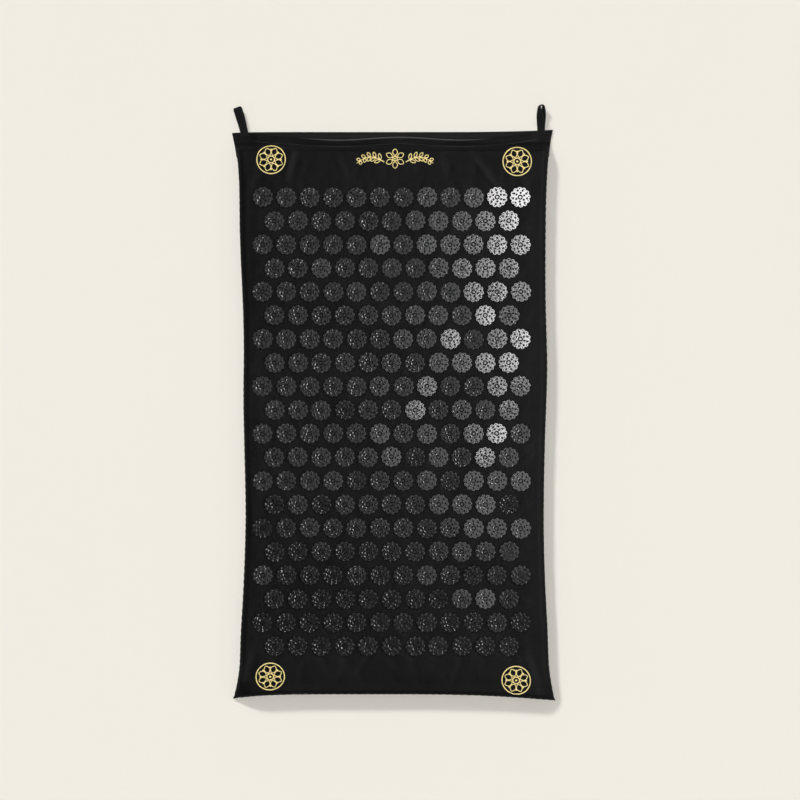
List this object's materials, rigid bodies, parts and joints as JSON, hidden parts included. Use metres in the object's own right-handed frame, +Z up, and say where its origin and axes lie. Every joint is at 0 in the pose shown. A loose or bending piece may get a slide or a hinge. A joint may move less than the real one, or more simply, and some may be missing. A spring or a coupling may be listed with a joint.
{
  "type": "acupressure mat",
  "caption": "Rectangular acupressure mat: a foam pad in a black cotton cover with staggered rows of spiked plastic rosettes, two hanging loops and a closable mouth.",
  "frame": {"origin": "on the underside, at the middle of the mat", "axes": "X across the mat, +Y along it towards the mouth and the hanging loops, +Z up through the rosettes' spikes"},
  "size_m": [0.4138, 0.7741, 0.0301],
  "materials": {
    "cotton": "black woven cotton canvas with a slight sheen",
    "moulding": "black glossy injection moulded plastic",
    "closure": "black hook and loop tape",
    "webbing": "black woven cotton tape",
    "foam": "cream open-cell foam",
    "embroidery": "gold embroidery thread"
  },
  "bodies": {
    "cover": {"front_panel": "cotton", "back_panel": "cotton", "hook_tape": "closure", "rosette_1_01": "moulding", "rosette_1_02": "moulding", "rosette_1_03": "moulding", "rosette_1_04": "moulding", "rosette_1_05": "moulding", "rosette_1_06": "moulding", "rosette_1_07": "moulding", "rosette_1_08": "moulding", "rosette_1_09": "moulding", "rosette_1_10": "moulding", "rosette_1_11": "moulding", "rosette_1_12": "moulding", "rosette_2_01": "moulding", "rosette_2_02": "moulding", "rosette_2_03": "moulding", "rosette_2_04": "moulding", "rosette_2_05": "moulding", "rosette_2_06": "moulding", "rosette_2_07": "moulding", "rosette_2_08": "moulding", "rosette_2_09": "moulding", "rosette_2_10": "moulding", "rosette_2_11": "moulding"},
    "pad": {"foam_pad": "foam"},
    "flap": {"mouth_flap": "cotton", "loop_tape": "closure"},
    "loop_left": {"hanging_loop_left": "webbing"},
    "loop_right": {"hanging_loop_right": "webbing"}
  },
  "joints": [
    {"name": "loop_left_swing", "type": "hinge", "parent": "cover", "child": "loop_left", "pos_m": [-0.19445, 0.37108, 0.00137], "axis": [1, 0, 0], "range_deg": [0, 95]},
    {"name": "loop_right_swing", "type": "hinge", "parent": "cover", "child": "loop_right", "pos_m": [0.19445, 0.37108, 0.00137], "axis": [1, 0, 0], "range_deg": [0, 95]},
    {"name": "mouth_flap_lift", "type": "hinge", "parent": "cover", "child": "flap", "pos_m": [0, 0.33805, 0.024], "axis": [1, 0, 0], "range_deg": [0, 75]},
    {"name": "pad_slide", "type": "slide", "parent": "cover", "child": "pad", "axis": [0, 1, 0], "range_m": [0, 0.74], "deforming": ["mouth_flap", "loop_tape", "hook_tape"]}
  ]
}
